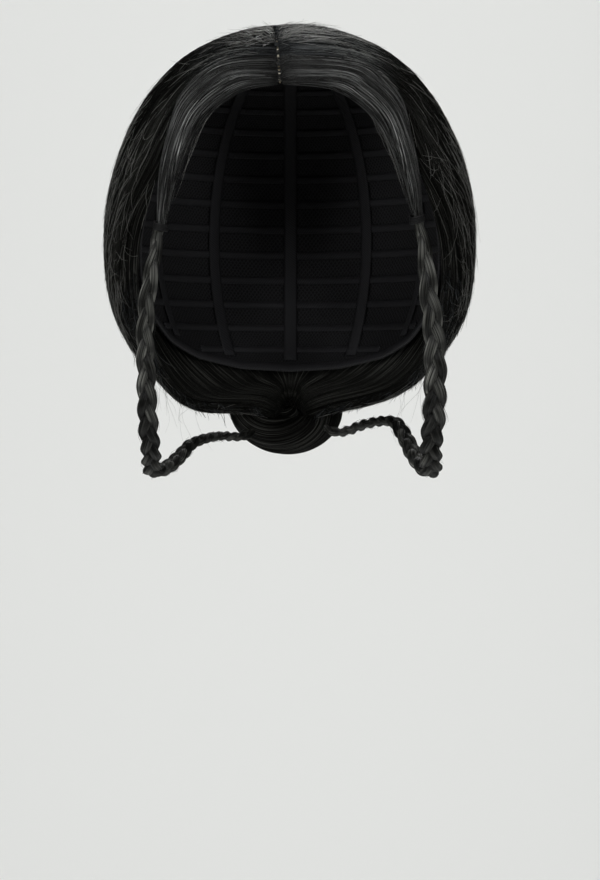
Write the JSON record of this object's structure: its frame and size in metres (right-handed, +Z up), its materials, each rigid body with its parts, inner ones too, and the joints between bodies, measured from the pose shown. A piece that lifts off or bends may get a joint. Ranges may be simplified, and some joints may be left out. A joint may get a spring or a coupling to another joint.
{
  "type": "wig with looped temple braids",
  "caption": "Black centre-parted wig on a stretch cap, drawn back to a low knot, with temple locks tied off into braids that hang beside the face and loop back to the nape.",
  "frame": {"origin": "where the crown of the wearer's head meets the inside of the cap", "axes": "+Z up, -Y towards the face, +X towards the wearer's left"},
  "size_m": [0.1856, 0.1996, 0.2264],
  "materials": {
    "hair": "satin",
    "cap_net": "matte",
    "skin_top": "matte",
    "elastic": "matte"
  },
  "bodies": {
    "root": {"cap": "cap_net", "parting": "skin_top", "side_hair_right": "hair", "side_hair_left": "hair", "back_hair": "hair", "temple_lock_right": "hair", "temple_lock_left": "hair", "tie_right": "elastic", "tie_left": "elastic", "braid_right": "hair", "braid_left": "hair", "nape_knot": "hair"}
  },
  "joints": []
}
